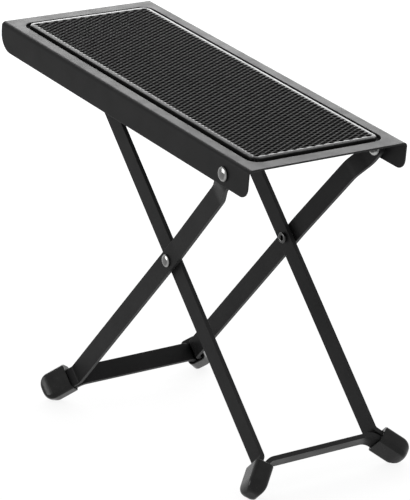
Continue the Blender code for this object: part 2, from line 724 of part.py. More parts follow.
def build():
    clear_scene()
    parts = collection("guitar_footrest")
    tools = collection("cutters")
    outer_angle, inner_angle, tilt, floor = stance()

    root = empty("footrest", parts, None, Matrix())
    outer = empty("outer_frame_axis", parts, root, Matrix.Rotation(pi - outer_angle, 4, "Y"))
    inner = empty("inner_frame_axis", parts, root, Matrix.Rotation(inner_angle, 4, "Y"))
    pivot = Vector((OUTER_UPPER * cos(outer_angle), 0, OUTER_UPPER * sin(outer_angle)))
    plate = empty("platform_axis", parts, root, Matrix.Translation(pivot) @ Matrix.Rotation(tilt, 4, "Y"))

    section = bar_section(tools)
    platform_plate(parts, tools, plate)
    rubber_mat(parts, tools, plate)
    frame = bent_bar("outer_leg_frame", outer_frame_path(), section, parts, outer)
    drilled(frame, "outer", OUTER_UPPER, HOLE_DIAMETER, HALF_WIDTH, tools, outer)
    frame = bent_bar("inner_leg_frame", inner_frame_path(), section, parts, inner)
    drilled(frame, "inner", INNER_UPPER, ROD_TENON + 2 * GAP, HALF_WIDTH, tools, inner)
    latch_rod(parts, inner)

    pivot_stack = SHEET + PLATE_WASHER_SPACE + BAR_THICKNESS
    crossing_stack = 2 * BAR_THICKNESS + LEG_SPACE
    feet = []
    for label, side in SIDES.items():
        height_rack(label, side, parts, tools, plate)
        feet.append(foot("outer_foot_" + label, side, OUTER_LOWER, OUTER_LEG_MID, -FOOT_RISE,
                         parts, tools, outer))
        feet.append(foot("inner_foot_" + label, side, INNER_LOWER, INNER_LEG_MID, FOOT_RISE,
                         parts, tools, inner))
        rivet("platform_rivet_" + label, PLATE_RIVET_HEAD, PLATE_RIVET_RISE,
              pivot_stack + GAP + BACKING_WASHER, HALF_WIDTH, side, parts, plate)
        rivet("crossing_rivet_" + label, CROSSING_RIVET_HEAD, CROSSING_RIVET_RISE,
              crossing_stack, OUTER_LEG_OUT, side, parts, outer)
        washer("platform_washer_" + label, PLATE_WASHER, HALF_WIDTH - SHEET, side, parts, plate)
        washer("backing_washer_" + label, BACKING_WASHER, HALF_WIDTH - pivot_stack, side, parts, plate)
        washer("crossing_washer_" + label, CROSSING_WASHER, OUTER_LEG_OUT - BAR_THICKNESS, side, parts, outer)

    reach = PLATE_LENGTH + OUTER_LOWER
    ground = box("ground", (-reach, -reach, floor - BAR_WIDTH), (reach, reach, floor), tools, root)
    for item in feet:
        boolean(item, cutter(ground), "DIFFERENCE")

    solids = [item for item in parts.objects if item.type == "MESH"]
    low, high = evaluated_bounds(solids)
    root.location = (-(low[0] + high[0]) / 2, 0, -low[2])
    bpy.context.view_layer.update()
    print("crossing axis", [round(v, 6) for v in root.matrix_world.translation])
    print("platform axis", [round(v, 6) for v in plate.matrix_world.translation])
    rod = inner.matrix_world @ Vector((-INNER_UPPER, 0, 0))
    print("rod axis", [round(v, 6) for v in rod])
    print("angles", round(outer_angle, 6), round(inner_angle, 6), round(tilt, 6))


build()
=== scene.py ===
"""The folding guitar footrest as it looks: fine pieces, materials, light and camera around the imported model.

Metres, in the model's own frame. The plate and both leg frames are modelled in local frames that are worked
out from the model's pivots: local X runs along the plate or down the legs, and local Y is the model's Y.
"""

import json
from math import atan2, cos, pi, radians, sin, sqrt, tan

import bmesh
import bpy
import numpy as np
from mathutils import Matrix, Vector


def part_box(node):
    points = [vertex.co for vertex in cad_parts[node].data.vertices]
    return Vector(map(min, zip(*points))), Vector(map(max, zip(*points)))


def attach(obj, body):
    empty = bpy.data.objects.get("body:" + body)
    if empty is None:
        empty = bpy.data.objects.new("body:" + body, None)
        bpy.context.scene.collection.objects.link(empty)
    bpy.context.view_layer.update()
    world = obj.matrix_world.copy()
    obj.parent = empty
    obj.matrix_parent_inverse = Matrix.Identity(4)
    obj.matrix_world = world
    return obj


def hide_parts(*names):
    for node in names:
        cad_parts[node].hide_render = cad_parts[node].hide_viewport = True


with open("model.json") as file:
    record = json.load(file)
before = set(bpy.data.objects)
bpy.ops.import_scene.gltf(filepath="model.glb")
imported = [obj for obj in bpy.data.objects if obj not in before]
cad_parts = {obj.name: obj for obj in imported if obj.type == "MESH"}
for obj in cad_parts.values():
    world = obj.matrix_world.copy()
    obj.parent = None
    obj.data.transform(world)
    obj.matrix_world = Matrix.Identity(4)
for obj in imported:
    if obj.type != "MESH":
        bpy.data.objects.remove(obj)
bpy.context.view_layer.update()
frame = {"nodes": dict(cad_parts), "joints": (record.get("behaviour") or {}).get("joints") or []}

# Pivots of the model
PIVOTS = {joint["name"]: Vector(joint["pos_m"]) for joint in frame["joints"]}
CROSSING = PIVOTS["fold"]
PLATE_PIVOT = PIVOTS["platform_fold"]
ROD_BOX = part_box("latch_rod")
ROD = (Vector(ROD_BOX[0]) + Vector(ROD_BOX[1])) / 2

# Foot plate
PLATE_LENGTH = 0.290
PLATE_WIDTH = 0.120
SHEET = 0.0012
SHEET_EDGE = 0.00028
FLANGE_DROP = 0.019
BEND_RADIUS = 0.0027
HIGH_CORNER_RADIUS = 0.012
LOW_CORNER_RADIUS = 0.007
PIVOT_INSET = 0.025
PIVOT_DROP = 0.011
RECESS_MARGIN = 0.0096
RECESS_DEPTH = 0.0022
RECESS_CORNER = 0.008
LIP_RADIUS = 0.0006
LIP_SUPPORT = 0.0004
PAN_RADIUS = 0.0006
FLANGE_ROW_SHARES = (0.06, 0.3, 0.6, 0.94, 1.0)
BORDER_WEAR = 0.4

# Mat and its tread: ribs along one diagonal, and pockets in the grooves between them.
# The shares are distances from a groove's or a pocket's middle, as parts of the spacing.
MAT_GAP = 0.0028
MAT_LIFT = 0.0003
MAT_RISE = 0.0011
MAT_EDGE = 0.0005
MAT_RIM = 0.0030
MAT_RIM_FALL = 0.00034
MAT_LAND = 0.0006
TREAD_PITCH = 0.00355
TREAD_ROW = 0.00353
TREAD_DEPTH = 0.0012
TREAD_SINK = 0.00012
TREAD_SAMPLES = 8
GROOVE_SHARES = (0.34, 0.49)
POCKET_SHARES = (0.16, 0.36)
CROSS_POCKET_SHARES = (0.20, 0.42)
GROOVE_DEPTH_SHARE = 0.14
TOOTH_DEPTH = 0.0010
TOOTH_TOP_SHARE = 0.9

# Flat bar of both frames
BAR_WIDTH = 0.013
BAR_THICKNESS = 0.003
BAR_EDGE = 0.00025
BAR_EDGE_MOST_SHARE = 0.9
MITRE_LIMIT = 0.5
BEND_CENTRE_RADIUS = 0.004
CROSSBAR_BEND_RADIUS = 0.010
HOLE_END = 0.0068
OUTER_INSET = 0.0107
OUTER_LOWER = 0.1601
JOGGLE_START = 0.011
JOGGLE_END = 0.026
JOGGLE_RADIUS = 0.020
LEAN = 0.0025
LEAN_START = 0.014
INNER_LOWER = 0.1448
LEG_SPACE = 0.0012
PLATE_WASHER_SPACE = 0.0014

# Ears and feet
EAR_ANGLE = radians(42)
EAR_GAP = 0.0012
EAR_LENGTH = 0.0205
FOOT_START = 0.0032
FOOT_TIP = 0.0243
FOOT_WIDTH = 0.0188
FOOT_THICKNESS = 0.0124
FOOT_RISE = 0.0015
FOOT_CORNER = 0.0030
FOOT_NOSE_LENGTH = 0.0078
FOOT_NOSE_WIDTH_INSET = 0.0066
FOOT_NOSE_THICKNESS_INSET = 0.0034
FOOT_LIP = 0.0005
FOOT_POCKET_DEPTH = 0.010
FOOT_SOCKET_GAP = 0.0003

# Rivets
RIVET_GAP = 0.0003
RIVET_SHANK = 0.0050
RIVET_BORE = 0.0032
BORE_DEPTH = 0.0040
ROLL_DIAMETER = 0.0074
ROLL_LENGTH = 0.0017
PLATE_RIVET_HEAD = 0.0096
PLATE_RIVET_RISE = 0.0020
CROSSING_RIVET_HEAD = 0.0084
CROSSING_RIVET_RISE = 0.0017
BACKING_STACK = 0.0010
RIVET_RIM_SHARE = 0.18
# Painted light on the rivets: a lighter ring near the head's rim is a painted reflection, and its darker
# middle and outer edge are painted shade. The rolled end inside is coloured darker.
RING_PLACE_SHARES = (0.0, 0.62, 0.80, 0.90, 0.98)
RING_PAINTED_LIGHT_SHARES = (0.38, 0.38, 1.0, 1.0, 0.0)
ROLL_BRIGHT_SHARE = 0.15

# Smoothness
TURNED_STEPS = 56
BEND_STEP = radians(4)
CORNER_STEPS = 8
HALF_CORNER_STEPS = 8
SIDE_STEPS = 14
END_STEPS = 8
DOME_STEPS = 12
NOSE_STEPS = 14
ROUND_STEPS = 8
EDGE_STEPS = 3
RIM_LINES = 2
LINE_SPACE_SHARE = 0.25
MERGE = 0.00002

# Worked out from the sizes above
HALF_WIDTH = PLATE_WIDTH / 2
HALF_LENGTH = PLATE_LENGTH / 2
PLATE_TOP = PIVOT_DROP
FLANGE_END = PLATE_TOP - FLANGE_DROP
HIGH_END = PIVOT_INSET - PLATE_LENGTH
PLATE_MIDDLE = (HIGH_END + PIVOT_INSET) / 2
BEND_END = PLATE_TOP - BEND_RADIUS
PAN_TOP = PLATE_TOP - RECESS_DEPTH
PAN_SUPPORT = PAN_RADIUS * 3
RECESS_CORNER_START = RECESS_MARGIN + RECESS_CORNER
MAT_TOP = PLATE_TOP + MAT_RISE
MAT_MARGIN = RECESS_MARGIN + MAT_GAP
OUTER_LEG_OUT = HALF_WIDTH - OUTER_INSET
OUTER_LEG_MID = OUTER_LEG_OUT - BAR_THICKNESS / 2
INNER_LEG_OUT = OUTER_LEG_OUT - BAR_THICKNESS - LEG_SPACE
INNER_LEG_MID = INNER_LEG_OUT - BAR_THICKNESS / 2
PIVOT_LEG_MID = HALF_WIDTH - SHEET - PLATE_WASHER_SPACE - BAR_THICKNESS / 2
EAR_OFFSET = (BAR_THICKNESS + EAR_GAP) / 2
OUTER_UPPER = (PLATE_PIVOT - CROSSING).length
INNER_UPPER = (ROD - CROSSING).length
SIDES = {"front": -1, "back": 1}

# Camera: the photograph's view, from a fit to its straight edges, rivets and feet
VIEW_AZIMUTH = radians(55.81)
VIEW_ELEVATION = radians(16.46)
VIEW_ROLL = radians(-0.34)
VIEW_DISTANCE = 1.889
VIEW_LENS = 208.43
AIM_FROM_CROSSING = Vector((-0.0361, -0.0001, 0.0026))
AIM_RIGHT = 0.00407
AIM_UP = -0.01207

# Light and floor
WORLD_WHITE = 1.0
WORLD_FILL = 0.80
SOFTBOX_AZIMUTH = radians(146)
SOFTBOX_ELEVATION = radians(27)
SOFTBOX_DISTANCE = 1.7
SOFTBOX_SIZE = (1.9, 1.0)
SOFTBOX_POWER = 37.0
WINDOW_AZIMUTH = radians(245)
WINDOW_ELEVATION = radians(15)
WINDOW_DISTANCE = 1.6
WINDOW_SIZE = (0.80, 0.70)
WINDOW_POWER = 10.6
FLOOR_REACH = 4.0
FLOOR_SEGMENTS = 8
FLOOR_COLOUR = 0.90
FLOOR_ROUGHNESS = 0.9
FLOOR_GLOW_SHARE = 0.85
FLOOR_GLOW = 1.03

# Parts of a noise texture's range that the materials spread out
NOISE_MIDDLE = (0.3, 0.7)
NOISE_UPPER = (0.35, 0.7)

# Darkest and lightest colour of the smooth rubber of the feet and the mat's rim
SMOOTH_RUBBER = ((0.007, 0.007, 0.007), (0.011, 0.011, 0.0107))


def local_frame(origin, along):
    """Local X runs along the given direction, local Y is the model's Y."""
    across = Vector((0, 1, 0))
    normal = along.cross(across)
    place = Matrix((along, across, normal)).transposed().to_4x4()
    place.translation = origin
    return place


PLATE_FRAME = local_frame(PLATE_PIVOT, (PLATE_PIVOT - ROD).normalized())
OUTER_FRAME = local_frame(CROSSING, (CROSSING - PLATE_PIVOT).normalized())
INNER_FRAME = local_frame(CROSSING, (CROSSING - ROD).normalized())


# Mesh helpers

def new_object(name, data):
    """An object of its own in the scene."""
    item = bpy.data.objects.new(name, data)
    bpy.context.scene.collection.objects.link(item)
    return item


def shape_with_wear_and_painted_light(points, faces, wear_and_painted_light):
    """A mesh in the making, with a number at each point that its material reads: edge wear on the coat,
    painted shade in the mat's pockets, and painted reflection and shade on the rivets.
    """
    shape = bmesh.new()
    layer = shape.verts.layers.float.new("wear_and_painted_light")
    corners = []
    for point, amount in zip(points, wear_and_painted_light):
        corner = shape.verts.new(point)
        corner[layer] = amount
        corners.append(corner)
    for face in faces:
        shape.faces.new([corners[i] for i in face])
    return shape


def finish_piece(name, shape, place, body, look, node):
    """Make a smooth piece from a shape in a local frame, in place of a node of the model."""
    mesh = bpy.data.meshes.new(name)
    shape.to_mesh(mesh)
    shape.free()
    mesh.shade_smooth()
    mesh.materials.append(look)
    item = new_object(name, mesh)
    item.matrix_world = place
    normals = item.modifiers.new("even_normals", "WEIGHTED_NORMAL")
    normals.keep_sharp = True
    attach(item, body)
    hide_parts(node)
    return item


def add_piece(name, points, faces, wear_and_painted_light, place, body, look, node):
    """Make a piece from points and faces, joined where they meet."""
    shape = shape_with_wear_and_painted_light(points, faces, wear_and_painted_light)
    bmesh.ops.remove_doubles(shape, verts=shape.verts, dist=MERGE)
    bmesh.ops.recalc_face_normals(shape, faces=shape.faces)
    return finish_piece(name, shape, place, body, look, node)


def quarter_turn(steps):
    """Even angles from 0 to a quarter turn."""
    return [pi / 2 * i / steps for i in range(steps + 1)]


def rings_to_faces(count, size):
    """Quads between successive rings of equally many points."""
    faces = []
    for ring in range(count - 1):
        low = ring * size
        high = low + size
        for i in range(size):
            j = (i + 1) % size
            faces.append((low + i, low + j, high + j, high + i))
    return faces


def arc(centre, radius, start, end, step=BEND_STEP):
    """Points along an arc from one angle to another."""
    count = max(2, int(round(abs(end - start) / step)))
    angles = [start + (end - start) * i / count for i in range(count + 1)]
    return [Vector((centre[0] + radius * cos(t), centre[1] + radius * sin(t))) for t in angles]


def filleted(corners):
    """A plane path through (point, bend radius) pairs, with an arc at each bend."""
    path = [corners[0][0]]
    for before, (point, radius), after in zip(corners, corners[1:], corners[2:]):
        come = (point - before[0]).normalized()
        leave = (after[0] - point).normalized()
        turn = atan2(come.x * leave.y - come.y * leave.x, come.dot(leave))
        side = 1 if turn > 0 else -1
        across = Vector((-come.y, come.x)) * side
        begin = point - come * radius * abs(tan(turn / 2))
        centre = begin + across * radius
        start = atan2(-across.y, -across.x)
        path += arc(centre, radius, start, start + turn)
    return path + [corners[-1][0]]


def rounded_rectangle(half_x, half_y, radius, steps=CORNER_STEPS):
    """Outline of a rectangle about the origin, with an arc at each corner."""
    outline = []
    for quarter, (sx, sy) in enumerate(((1, 1), (-1, 1), (-1, -1), (1, -1))):
        for i in range(steps + 1):
            t = pi / 2 * (quarter + i / steps)
            outline.append((sx * (half_x - radius) + radius * cos(t),
                            sy * (half_y - radius) + radius * sin(t)))
    return outline


# Foot plate

def between(start, end, steps):
    """Points strictly between two values."""
    return [start + (end - start) * i / steps for i in range(1, steps)]


def recess_ring(grow, height):
    """One ring of the recess: its outline grown outwards, at a height."""
    half_x = HALF_LENGTH - RECESS_MARGIN + grow
    half_y = HALF_WIDTH - RECESS_MARGIN + grow
    radius = RECESS_CORNER + grow
    straight_x, straight_y = half_x - radius, half_y - radius
    ring = []
    for quarter, (sx, sy) in enumerate(((1, 1), (-1, 1), (-1, -1), (1, -1))):
        for i in range(2 * HALF_CORNER_STEPS + 1):
            t = pi / 2 * (quarter + i / (2 * HALF_CORNER_STEPS))
            ring.append((sx * straight_x + radius * cos(t), sy * straight_y + radius * sin(t)))
        if quarter % 2 == 0:
            ring += [(x, sy * half_y) for x in between(sx * straight_x, -sx * straight_x, SIDE_STEPS)]
        else:
            ring += [(sx * half_x, y) for y in between(sy * straight_y, -sy * straight_y, END_STEPS)]
    return [Vector((PLATE_MIDDLE + x, y, height)) for x, y in ring]


def corner_columns(radius):
    """Distances from the plate's end to the columns of its rounded flange corner."""
    turns = quarter_turn(HALF_CORNER_STEPS - 1)
    return [radius - (radius - SHEET_EDGE) * cos(t) for t in turns] + [RECESS_CORNER_START]


def border_ring():
    """The top's outer ring, which meets the bends on the long sides and the cut ends on the short ones."""
    half_x = HALF_LENGTH - SHEET_EDGE
    half_y = HALF_WIDTH - BEND_RADIUS
    straight_x = HALF_LENGTH - RECESS_CORNER_START
    straight_y = HALF_WIDTH - RECESS_CORNER_START
    along = {1: corner_columns(LOW_CORNER_RADIUS), -1: corner_columns(HIGH_CORNER_RADIUS)}
    ring = []
    for quarter, (sx, sy) in enumerate(((1, 1), (-1, 1), (-1, -1), (1, -1))):
        long_side = [(sx * (HALF_LENGTH - d), sy * half_y) for d in along[sx]]
        short_side = [(sx * half_x, sy * (half_y + (straight_y - half_y) * i / HALF_CORNER_STEPS))
                      for i in range(HALF_CORNER_STEPS + 1)]
        if quarter % 2 == 0:
            ring += short_side[::-1] + long_side[1:]
            ring += [(x, sy * half_y) for x in between(sx * straight_x, -sx * straight_x, SIDE_STEPS)]
        else:
            ring += long_side[::-1] + short_side[1:]
            ring += [(sx * half_x, y) for y in between(sy * straight_y, -sy * straight_y, END_STEPS)]
    return [Vector((PLATE_MIDDLE + x, y, PLATE_TOP)) for x, y in ring]


def flange_bottom(x):
    """Height of the flange's lower edge at a place along the plate."""
    for end, radius, sign in ((HIGH_END, HIGH_CORNER_RADIUS, 1), (PIVOT_INSET, LOW_CORNER_RADIUS, -1)):
        before_centre = radius - sign * (x - end)
        if before_centre > 0:
            return FLANGE_END + radius - sqrt(max((radius - SHEET_EDGE) ** 2 - before_centre ** 2, 0))
    return FLANGE_END + SHEET_EDGE


def point_normals(flat, faces):
    """The sheet's normal at each point, averaged over its faces by their size."""
    normals = np.zeros_like(flat)
    for face in faces:
        corners = flat[list(face)]
        area = np.zeros(3)
        for a, b in zip(corners[1:], corners[2:]):
            area += np.cross(a - corners[0], b - corners[0])
        for i in face:
            normals[i] += area
    return normals / np.linalg.norm(normals, axis=1)[:, None]


def thicken(points, faces, border, thickness, edge):
    """Give an open sheet its thickness, with rounded cut edges along its border."""
    flat = np.array([tuple(p) for p in points])
    normals = point_normals(flat, faces)
    count = len(flat)
    solid = list(flat) + list(flat - normals * thickness)
    wear_and_painted_light = [0.0] * len(solid)
    quads = [tuple(f) for f in faces] + [tuple(i + count for i in reversed(f)) for f in faces]
    loop = flat[border]
    tangents = np.roll(loop, -1, axis=0) - np.roll(loop, 1, axis=0)
    outward = np.cross(tangents, normals[border])
    outward /= np.linalg.norm(outward, axis=1)[:, None]
    levels = [(edge * sin(t), edge * (1 - cos(t))) for t in quarter_turn(EDGE_STEPS)[1:]]
    levels += [(out, thickness - depth) for out, depth in reversed(levels)]
    previous = list(border)
    for out, depth in levels:
        first = len(solid)
        solid += list(loop + outward * out - normals[border] * depth)
        wear_and_painted_light += [1.0] * len(border)
        for i in range(len(border)):
            j = (i + 1) % len(border)
            quads.append((previous[i], first + i, first + j, previous[j]))
        previous = [first + i for i in range(len(border))]
    for i in range(len(border)):
        j = (i + 1) % len(border)
        quads.append((previous[i], border[i] + count, border[j] + count, previous[j]))
    for i in border:
        wear_and_painted_light[i] = BORDER_WEAR
    return solid, quads, wear_and_painted_light


def side_rows(columns, sy):
    """Rows of points down one long side of the plate: round its bend, then down its flange."""
    rows = []
    for t in quarter_turn(ROUND_STEPS)[1:]:
        y = sy * (HALF_WIDTH - BEND_RADIUS * (1 - sin(t)))
        z = PLATE_TOP - BEND_RADIUS * (1 - cos(t))
        rows.append([Vector((p.x, y, z)) for p in columns])
    for share in FLANGE_ROW_SHARES:
        rows.append([Vector((p.x, sy * HALF_WIDTH, BEND_END + (flange_bottom(p.x) - BEND_END) * share))
                     for p in columns])
    return rows


def foot_plate(look):
    """The pressed plate: recess, rolled lip, flat top, bends and flanges with rounded corners."""
    rings = [recess_ring(-PAN_SUPPORT, PAN_TOP)]
    rings += [recess_ring(-PAN_RADIUS * (1 - sin(t)), PAN_TOP + PAN_RADIUS * (1 - cos(t)))
              for t in quarter_turn(EDGE_STEPS)]
    rings += [recess_ring(LIP_RADIUS * (1 - cos(t)), PLATE_TOP - LIP_RADIUS * (1 - sin(t)))
              for t in quarter_turn(ROUND_STEPS)]
    rings += [recess_ring(LIP_RADIUS + LIP_SUPPORT, PLATE_TOP), border_ring()]
    size = len(rings[0])
    points = [p for ring in rings for p in ring]
    faces = [tuple(reversed(face)) for face in rings_to_faces(len(rings), size)]
    faces.append(tuple(range(size)))
    last = len(points) - size
    corner = 2 * HALF_CORNER_STEPS + 1
    long_count = corner + SIDE_STEPS
    half_ring = 2 * corner + SIDE_STEPS + END_STEPS - 2
    border = []
    for part, sy in enumerate((1, -1)):
        start = part * half_ring + HALF_CORNER_STEPS
        rows = [[last + (start + i) % size for i in range(long_count)]]
        for row in side_rows([points[i] for i in rows[0]], sy):
            rows.append([len(points) + i for i in range(long_count)])
            points += row
        for upper, lower in zip(rows, rows[1:]):
            for i in range(long_count - 1):
                faces.append((upper[i + 1], upper[i], lower[i], lower[i + 1]))
        border += [r[0] for r in rows[:-1]] + rows[-1] + [r[-1] for r in reversed(rows[:-1])]
        end = start + long_count
        border += [last + (end + i) % size for i in range(half_ring - long_count)]
    solid, quads, wear_and_painted_light = thicken(points, faces, border, SHEET, SHEET_EDGE)
    return add_piece("foot_plate", solid, quads, wear_and_painted_light, PLATE_FRAME, "platform", look, "platform_plate")


# Mat

def edge_lines(half, step):
    """Grid lines across the mat: close together over its rounded edge and even over the tread."""
    count = int((half - MAT_RIM) / step) + 1
    even = [step * i for i in range(-count, count + 1)]
    rim = [MAT_EDGE * (1 - cos(t)) for t in quarter_turn(EDGE_STEPS)]
    rim += [MAT_EDGE + (MAT_RIM - MAT_LAND - MAT_EDGE) * i / RIM_LINES for i in range(1, RIM_LINES + 1)]
    rim = [d for d in rim if half - d > even[-1] + step * LINE_SPACE_SHARE]
    return sorted([-(half - d) for d in rim] + even + [half - d for d in rim])


def smooth_step(low, high, value):
    """0 below the low value, 1 above the high one, and smooth between them."""
    t = np.clip((value - low) / (high - low), 0, 1)
    return t * t * (3 - 2 * t)


def mat_outline():
    """Grid over the mat, drawn in at its rounded corners: x, y and the distance inside its edge."""
    half_x = HALF_LENGTH - MAT_MARGIN
    half_y = HALF_WIDTH - MAT_MARGIN
    radius = RECESS_CORNER - MAT_GAP
    xs = np.array(edge_lines(half_x, TREAD_PITCH / TREAD_SAMPLES))
    ys = np.array(edge_lines(half_y, TREAD_ROW / TREAD_SAMPLES))
    x, y = np.meshgrid(xs, ys, indexing="ij")
    over_x = np.maximum(np.abs(x) - (half_x - radius), 0)
    over_y = np.maximum(np.abs(y) - (half_y - radius), 0)
    corner = (over_x > 0) & (over_y > 0)
    away = np.hypot(over_x, over_y)
    inside = np.where(corner, radius - away, np.minimum(half_x - np.abs(x), half_y - np.abs(y)))
    pull = np.where(inside < 0, radius / np.maximum(away, MERGE), 1.0)
    x = np.where(corner, np.sign(x) * (half_x - radius + over_x * pull), x)
    y = np.where(corner, np.sign(y) * (half_y - radius + over_y * pull), y)
    return x, y, np.maximum(inside, 0)


def tread(x, y):
    """How deep the tread is at each point, from 0 on a rib to 1 in a pocket. Only whole pockets are cut."""
    along = x / TREAD_PITCH + y / (2 * TREAD_ROW)
    across = x / TREAD_PITCH - y / (2 * TREAD_ROW)
    groove, cell = np.round(along), np.round(across)
    centre_x = (groove + cell) / 2 * TREAD_PITCH
    centre_y = (groove - cell) * TREAD_ROW
    reach_x = HALF_LENGTH - MAT_MARGIN - MAT_RIM - TREAD_PITCH / 2 + MAT_LAND
    reach_y = HALF_WIDTH - MAT_MARGIN - MAT_RIM - TREAD_ROW / 2 + MAT_LAND
    there = (np.abs(centre_x) <= reach_x) & (np.abs(centre_y) <= reach_y)
    shallow = 1 - smooth_step(*GROOVE_SHARES, np.abs(along - groove))
    deep = 1 - smooth_step(*POCKET_SHARES, np.abs(along - groove))
    deep = deep * (1 - smooth_step(*CROSS_POCKET_SHARES, np.abs(across - cell)))
    return np.where(there, GROOVE_DEPTH_SHARE * shallow + (1 - GROOVE_DEPTH_SHARE) * deep, 0)


def mat_surface():
    """Grid of the mat's top, with a rim that falls outwards, and the tread's depth at each point."""
    x, y, inside = mat_outline()
    land = MAT_RIM - MAT_LAND
    fall = MAT_RIM_FALL * np.clip((land - inside) / land, 0, 1)
    rounding = np.clip(MAT_EDGE - inside, 0, MAT_EDGE)
    z = MAT_TOP - fall - (MAT_EDGE - np.sqrt(MAT_EDGE ** 2 - rounding ** 2))
    depth = tread(x, y)
    field = smooth_step(0, MAT_LAND, inside - MAT_RIM)
    z = z - TREAD_DEPTH * depth - TREAD_SINK * field
    return np.stack([x + PLATE_MIDDLE, y, z], axis=-1), depth


def add_wall(shape, layer, bottom):
    """A wall from a surface's border straight down to a height, its faces in the same order each run."""
    below = {}
    for edge in [e for e in shape.edges if e.is_boundary]:
        loop = edge.link_loops[0]
        start, end = loop.vert, loop.link_loop_next.vert
        for corner in (start, end):
            if corner not in below:
                below[corner] = shape.verts.new((corner.co.x, corner.co.y, bottom))
                below[corner][layer] = corner[layer]
        shape.faces.new((end, start, below[start], below[end]))


def mat(look, rim_look):
    """The rubber mat. Its rim has a look of its own, which reaches in on the tops of the ribs."""
    surface, depth = mat_surface()
    rows, columns = surface.shape[:2]
    faces = [(a, a + columns, a + columns + 1, a + 1)
             for i in range(rows - 1) for a in range(i * columns, (i + 1) * columns - 1)]
    # The tread's height goes into the mesh, and the rubber's material paints shade into the pockets from it
    shape = shape_with_wear_and_painted_light(surface.reshape(-1, 3), faces, [1.0 - float(d) for d in depth.reshape(-1)])
    bmesh.ops.remove_doubles(shape, verts=[v for v in shape.verts if v.is_boundary or v.co.z < PLATE_TOP],
                             dist=MERGE)
    bmesh.ops.dissolve_degenerate(shape, edges=shape.edges, dist=MERGE)
    layer = shape.verts.layers.float["wear_and_painted_light"]
    add_wall(shape, layer, PAN_TOP + MAT_LIFT)
    for face in shape.faces:
        middle = face.calc_center_median()
        aside = max(abs(middle.x - PLATE_MIDDLE) - HALF_LENGTH, abs(middle.y) - HALF_WIDTH)
        tooth = TOOTH_DEPTH if min(corner[layer] for corner in face.verts) > TOOTH_TOP_SHARE else 0
        face.material_index = int(aside > -MAT_MARGIN - MAT_RIM - tooth)
    item = finish_piece("mat", shape, PLATE_FRAME, "platform", look, "rubber_mat")
    item.data.materials.append(rim_look)
    return item


# Leg frames

def lower_corner(length, leg_mid):
    """Bends from a leg through the hairpin ear to the crossbar, on the back half of a frame."""
    corner = Vector((length, leg_mid))
    along = Vector((cos(EAR_ANGLE), sin(EAR_ANGLE)))
    across = Vector((sin(EAR_ANGLE), -cos(EAR_ANGLE))) * EAR_OFFSET
    turn = corner + along * (EAR_LENGTH - EAR_OFFSET - BAR_THICKNESS / 2)
    leg_bend = Vector((length - EAR_OFFSET / sin(EAR_ANGLE), leg_mid))
    bar_bend = Vector((length, leg_mid - EAR_OFFSET / cos(EAR_ANGLE)))
    start = atan2(-across.y, -across.x)
    return leg_bend, arc(turn, EAR_OFFSET, start, start - pi, 2 * BEND_STEP), bar_bend


def frame_path(upper, length, leg_mid, reach):
    """The whole U as a plane path: down one leg, round its ear, along the crossbar and up the other leg."""
    leg_bend, hairpin, bar_bend = lower_corner(length, leg_mid)
    radius = BEND_CENTRE_RADIUS
    down = filleted(upper + [(leg_bend, radius), (hairpin[0], radius)])
    across = filleted([(hairpin[-1], radius), (bar_bend, CROSSBAR_BEND_RADIUS),
                       (Vector((length, 0)), radius)])
    tip = [Vector((-reach - HOLE_END * sin(t), down[0].y)) for t in reversed(quarter_turn(ROUND_STEPS)[1:])]
    half = tip + down[:-1] + hairpin + across[1:]
    return half + [Vector((p.x, -p.y)) for p in reversed(half[:-1])]


def bar_ring(point, normal, stretch, half_width):
    """The rounded section of the flat bar at one point of its path."""
    half_t = BAR_THICKNESS / 2
    radius = min(BAR_EDGE, half_width * BAR_EDGE_MOST_SHARE)
    ring = []
    for t, w in rounded_rectangle(half_t, half_width, radius, EDGE_STEPS):
        place = point + normal * (t * stretch)
        ring.append((place.x, place.y, w))
    return ring


def leg_frame(name, upper, length, leg_mid, reach, place, body, look, node):
    """The flat bar swept along its frame's path, narrowing to round ends about the pivot holes."""
    path = frame_path(upper, length, leg_mid, reach)
    rings = []
    for i, point in enumerate(path):
        before = point - path[i - 1] if i else path[1] - point
        after = path[i + 1] - point if i < len(path) - 1 else before
        before, after = before.normalized(), after.normalized()
        tangent = (before + after).normalized()
        normal = Vector((-tangent.y, tangent.x))
        stretch = 1 / max(tangent.dot(before), MITRE_LIMIT)
        beyond = -reach - point.x
        half_width = BAR_WIDTH / 2
        if beyond > 0:
            half_width = min(half_width, max(sqrt(max(HOLE_END ** 2 - beyond ** 2, 0)), BAR_EDGE / 2))
        rings.append(bar_ring(point, normal, stretch, half_width))
    size = len(rings[0])
    points = [p for ring in rings for p in ring]
    faces = rings_to_faces(len(rings), size)
    faces += [tuple(reversed(range(size))), tuple(range(len(points) - size, len(points)))]
    near_edge = BAR_WIDTH / 2 - BAR_EDGE
    wear_and_painted_light = [1.0 if abs(p[2]) > near_edge else 0.0 for p in points]
    return add_piece(name, points, faces, wear_and_painted_light, place, body, look, node)


def leg_frames(look):
    """The outer frame steps outwards to the plate's pivots. The inner one is straight."""
    outer = [(Vector((-OUTER_UPPER, PIVOT_LEG_MID)), 0),
             (Vector((-OUTER_UPPER + JOGGLE_START, PIVOT_LEG_MID)), JOGGLE_RADIUS),
             (Vector((-OUTER_UPPER + JOGGLE_END, OUTER_LEG_MID + LEAN)), JOGGLE_RADIUS),
             (Vector((-LEAN_START, OUTER_LEG_MID)), OUTER_UPPER)]
    leg_frame("outer_legs", outer, OUTER_LOWER, OUTER_LEG_MID, OUTER_UPPER,
              OUTER_FRAME, "outer_frame", look, "outer_leg_frame")
    inner = [(Vector((-INNER_UPPER, INNER_LEG_MID)), 0)]
    leg_frame("inner_legs", inner, INNER_LOWER, INNER_LEG_MID, INNER_UPPER,
              INNER_FRAME, "inner_frame", look, "inner_leg_frame")


# Feet

